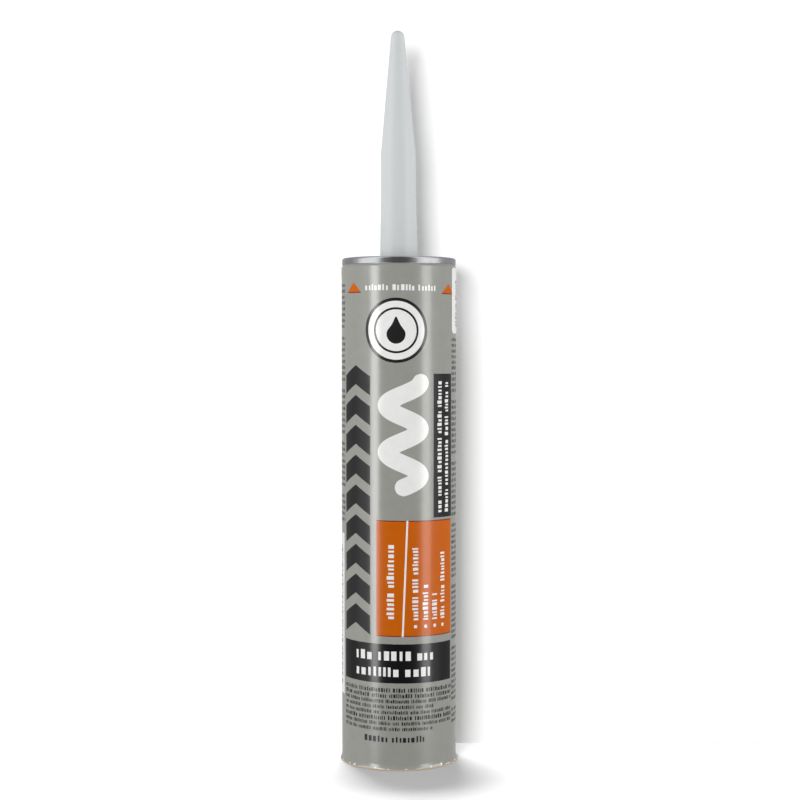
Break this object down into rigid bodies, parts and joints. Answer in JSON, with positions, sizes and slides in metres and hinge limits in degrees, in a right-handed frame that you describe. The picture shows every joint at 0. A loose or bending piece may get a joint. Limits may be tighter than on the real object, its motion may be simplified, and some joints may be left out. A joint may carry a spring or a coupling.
{
  "type": "caulk tube",
  "caption": "Round board cartridge of sealant with a rolled metal end, a long closed cone nozzle and a plunger that slides up the bore from its open tail.",
  "frame": {"origin": "centre of the tail face, on which the cartridge stands", "axes": "+Z along the tube's axis from the open tail to the nozzle's tip, -Y out of the front of the label, +X to the right of the front"},
  "size_m": [0.0505, 0.0504, 0.3135],
  "materials": {
    "board": "raw wound board",
    "foil": "dull foil",
    "label": "semi-gloss printed paper",
    "sticker": "smooth white paper",
    "end_metal": "bright tin plate",
    "compound": "matt sealing compound",
    "nozzle_plastic": "satin, slightly cloudy",
    "seal_film": "thin moulded web",
    "sealant": "smooth wet paste",
    "plunger_plastic": "natural moulded plastic"
  },
  "bodies": {
    "cartridge": {"board_tube": "board", "foil_liner": "foil", "label_wrap": "label", "stock_sticker": "sticker", "metal_end": "end_metal", "seam_compound": "compound", "nozzle": "nozzle_plastic", "inner_seal": "seal_film", "sealant": "sealant"},
    "plunger": {"plunger": "plunger_plastic"}
  },
  "joints": [
    {"name": "plunger_slide", "type": "slide", "parent": "cartridge", "child": "plunger", "axis": [0, 0, 1], "range_m": [0, 0.1715], "deforming": ["sealant"]}
  ]
}
